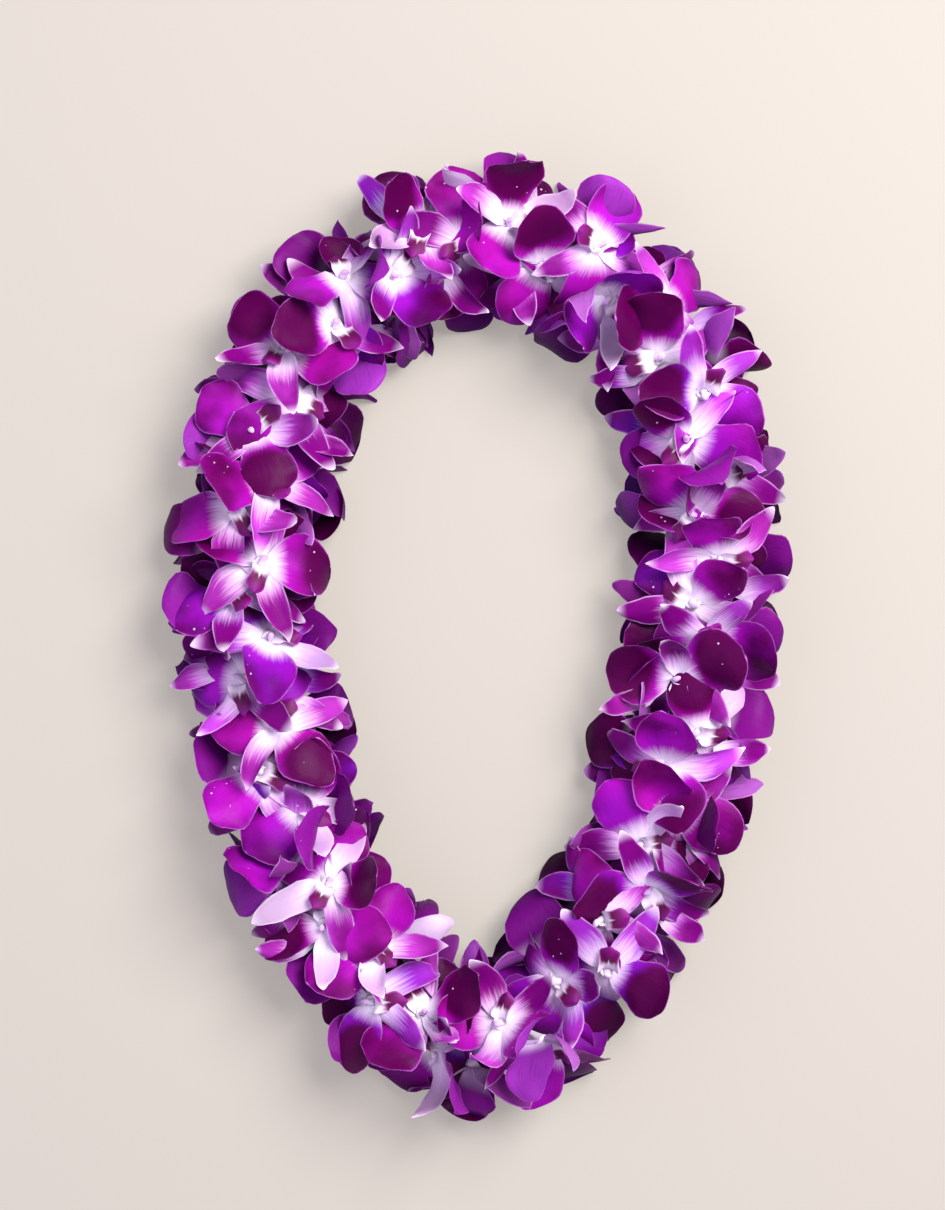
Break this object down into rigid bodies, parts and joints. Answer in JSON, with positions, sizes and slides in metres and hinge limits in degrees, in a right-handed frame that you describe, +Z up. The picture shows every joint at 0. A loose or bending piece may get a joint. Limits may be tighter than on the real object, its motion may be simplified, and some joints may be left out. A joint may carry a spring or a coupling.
{
  "type": "flower lei",
  "caption": "Closed loop of fresh purple and white orchid blooms strung face outwards on a hidden cotton string, lying flat.",
  "frame": {"origin": "middle of the lei's bounding box, on the surface it lies on", "axes": "+Z up from the surface, +Y along the longer way of the loop, +X across it"},
  "size_m": [0.3244, 0.5004, 0.0656],
  "materials": {
    "string": "twisted white cotton",
    "petal": null
  },
  "bodies": {
    "root": {"string": "string", "orchid_blooms_01": "petal", "orchid_blooms_02": "petal", "orchid_blooms_03": "petal", "orchid_blooms_04": "petal", "orchid_blooms_05": "petal", "orchid_blooms_06": "petal", "orchid_blooms_07": "petal", "orchid_blooms_08": "petal", "orchid_blooms_09": "petal", "orchid_blooms_10": "petal", "orchid_blooms_11": "petal", "orchid_blooms_12": "petal", "orchid_blooms_13": "petal", "orchid_blooms_14": "petal", "orchid_blooms_15": "petal", "orchid_blooms_16": "petal"}
  },
  "joints": []
}
